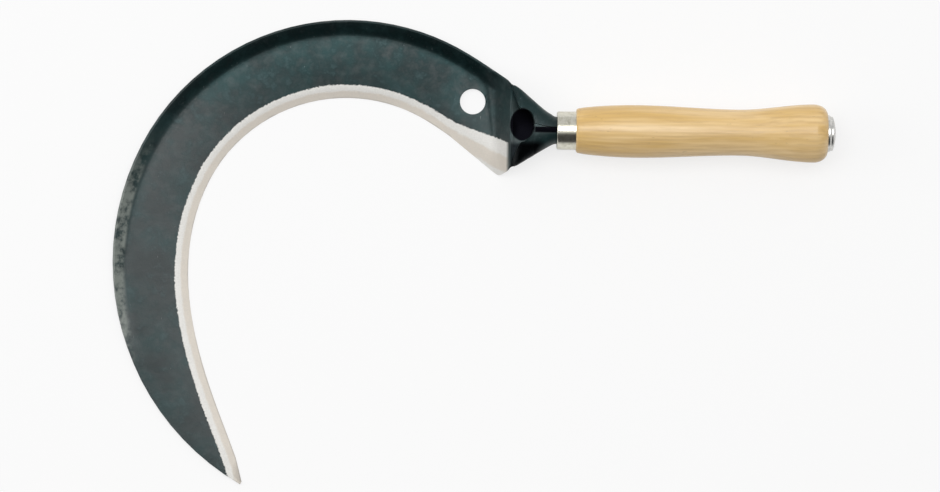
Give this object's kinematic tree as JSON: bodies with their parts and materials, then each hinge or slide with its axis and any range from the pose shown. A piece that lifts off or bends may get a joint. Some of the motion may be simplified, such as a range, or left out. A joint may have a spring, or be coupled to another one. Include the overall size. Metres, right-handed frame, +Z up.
{
  "type": "sickle",
  "caption": "Hand sickle with a black crescent blade, raised back, ground inner edge, cranked folded neck, bright ferrule and turned wooden handle.",
  "frame": {"origin": "under the middle of the tool's box, on the plane that the blade lies on", "axes": "+X along the handle from the neck to the butt, +Z up off the flat underside of the blade, +Y to the crescent's back"},
  "size_m": [0.3964, 0.2566, 0.0329],
  "materials": {
    "lacquered_steel": "black lacquer over forged steel, inner edge ground bare",
    "plain_steel": "plain drawn rod",
    "bright_metal": "bright plated",
    "lacquered_wood": "turned, clear lacquer"
  },
  "bodies": {
    "root": {"blade": "lacquered_steel", "tang_rod": "plain_steel", "ferrule": "bright_metal", "handle": "lacquered_wood", "butt_washer": "bright_metal", "rivet_cap": "bright_metal"}
  },
  "joints": []
}
